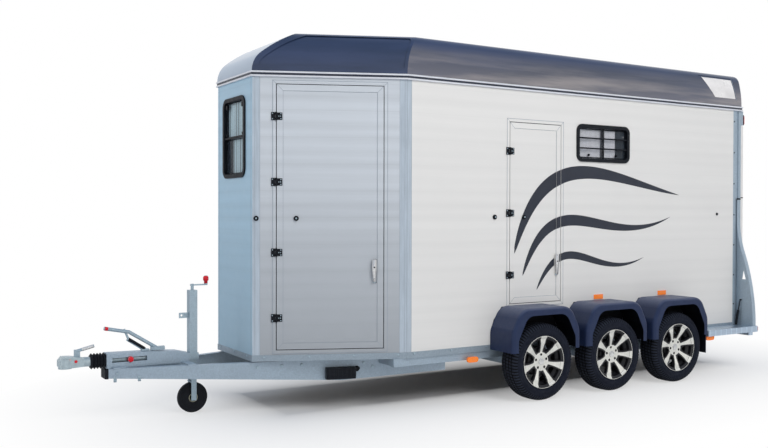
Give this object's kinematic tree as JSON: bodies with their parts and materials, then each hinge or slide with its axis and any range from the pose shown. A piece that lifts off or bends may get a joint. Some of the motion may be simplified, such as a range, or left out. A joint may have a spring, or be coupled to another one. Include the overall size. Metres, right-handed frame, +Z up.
{
  "type": "horse trailer",
  "caption": "Closed triple-axle horse trailer with an angled front, moulded roof, doors, rear ramp, folding jockey wheel and overrun ball coupling.",
  "frame": {"origin": "on the floor, in the middle of the trailer's length and width", "axes": "+X forward to the coupling, +Y to the left side with the doors, +Z up"},
  "size_m": [6.265, 2.176, 2.8799],
  "materials": {
    "panel_paint": "satin, warm white, ribbed planks",
    "roof_navy": "glossy navy moulding",
    "galvanised": "dull galvanised",
    "coupling_steel": "zinc-plated, scuffed",
    "trim_aluminium": "brushed extrusion",
    "wheel_alloy": "machined silver",
    "tyre_rubber": "dull black",
    "black_plastic": "grained black",
    "guard_plastic": "dark blue-grey, fine grain",
    "black_rubber": "dull black",
    "window_glass": "dark tinted",
    "floor_board": "film-faced board",
    "lamp_amber": "clear amber",
    "lamp_red": "clear red",
    "zinc_yellow": "yellow zinc"
  },
  "bodies": {
    "trailer": {"drawbar_beam_left": "galvanised", "drawbar_beam_right": "galvanised", "chassis_frame": "galvanised", "overrun_housing": "coupling_steel", "coupling_head": "coupling_steel", "coupling_handle": "coupling_steel", "gaiter": "black_rubber", "handbrake": "coupling_steel", "jockey_mast": "coupling_steel", "jockey_crank": "coupling_steel", "mudguards_left": "guard_plastic", "mudguards_right": "guard_plastic", "floor": "floor_board", "wall_left": "panel_paint", "wall_right": "panel_paint", "wall_front": "panel_paint", "panel_left": "panel_paint", "panel_right": "panel_paint", "corner_posts": "trim_aluminium", "rear_frame": "trim_aluminium", "skirt": "galvanised", "gutter": "trim_aluminium", "roof": "roof_navy", "window_frames": "black_plastic", "window_panes": "window_glass", "door_hinges": "coupling_steel", "rear_step": "trim_aluminium", "corner_plates": "trim_aluminium", "corner_struts": "black_plastic", "side_lamps": "lamp_amber", "rear_lamps": "lamp_red", "wheel_chocks": "black_plastic", "axle_front": "galvanised", "axle_middle": "galvanised", "axle_rear": "galvanised"},
    "jockey_leg": {"jockey_tube": "coupling_steel"},
    "jockey_fork": {"jockey_fork": "zinc_yellow"},
    "jockey_wheel": {"jockey_wheel": "black_rubber"},
    "front_door": {"front_door": "panel_paint", "front_door_hinges": "coupling_steel"},
    "side_door": {"side_door": "panel_paint", "side_door_hinges": "coupling_steel"},
    "ramp": {"ramp": "panel_paint"},
    "rear_flap": {"rear_flap": "panel_paint"},
    "wheel_front_left": {"rim_front_left": "wheel_alloy", "tyre_front_left": "tyre_rubber"},
    "wheel_front_right": {"rim_front_right": "wheel_alloy", "tyre_front_right": "tyre_rubber"},
    "wheel_middle_left": {"rim_middle_left": "wheel_alloy", "tyre_middle_left": "tyre_rubber"},
    "wheel_middle_right": {"rim_middle_right": "wheel_alloy", "tyre_middle_right": "tyre_rubber"},
    "wheel_rear_left": {"rim_rear_left": "wheel_alloy", "tyre_rear_left": "tyre_rubber"},
    "wheel_rear_right": {"rim_rear_right": "wheel_alloy", "tyre_rear_right": "tyre_rubber"}
  },
  "joints": [
    {"name": "jockey_lift", "type": "slide", "parent": "trailer", "child": "jockey_leg", "axis": [0, 0, 1], "range_m": [0, 0.0855]},
    {"name": "jockey_fold", "type": "hinge", "parent": "jockey_leg", "child": "jockey_fork", "pos_m": [2.171, 0, 0.2675], "axis": [0, 1, 0], "range_deg": [0, 90]},
    {"name": "jockey_spin", "type": "hinge", "parent": "jockey_fork", "child": "jockey_wheel", "pos_m": [2.171, 0, 0.1125], "axis": [0, 1, 0], "continuous": true},
    {"name": "front_door_swing", "type": "hinge", "parent": "trailer", "child": "front_door", "pos_m": [1.6797, 0.4254, 1.456], "axis": [0, 0, -1], "range_deg": [0, 170]},
    {"name": "side_door_swing", "type": "hinge", "parent": "trailer", "child": "side_door", "pos_m": [-0.199, 0.811, 1.491], "axis": [0, 0, -1], "range_deg": [0, 170]},
    {"name": "ramp_drop", "type": "hinge", "parent": "trailer", "child": "ramp", "pos_m": [-3.11, 0, 0.466], "axis": [0, -1, 0], "range_deg": [0, 113]},
    {"name": "flap_lift", "type": "hinge", "parent": "trailer", "child": "rear_flap", "pos_m": [-3.118, 0, 2.347], "axis": [0, 1, 0], "range_deg": [0, 85]},
    {"name": "wheel_front_left_spin", "type": "hinge", "parent": "trailer", "child": "wheel_front_left", "pos_m": [-0.356, 0.958, 0.308], "axis": [0, 1, 0], "continuous": true},
    {"name": "wheel_front_right_spin", "type": "hinge", "parent": "trailer", "child": "wheel_front_right", "pos_m": [-0.356, -0.958, 0.308], "axis": [0, 1, 0], "continuous": true},
    {"name": "wheel_middle_left_spin", "type": "hinge", "parent": "trailer", "child": "wheel_middle_left", "pos_m": [-1.132, 0.958, 0.308], "axis": [0, 1, 0], "continuous": true},
    {"name": "wheel_middle_right_spin", "type": "hinge", "parent": "trailer", "child": "wheel_middle_right", "pos_m": [-1.132, -0.958, 0.308], "axis": [0, 1, 0], "continuous": true},
    {"name": "wheel_rear_left_spin", "type": "hinge", "parent": "trailer", "child": "wheel_rear_left", "pos_m": [-1.908, 0.958, 0.308], "axis": [0, 1, 0], "continuous": true},
    {"name": "wheel_rear_right_spin", "type": "hinge", "parent": "trailer", "child": "wheel_rear_right", "pos_m": [-1.908, -0.958, 0.308], "axis": [0, 1, 0], "continuous": true}
  ]
}
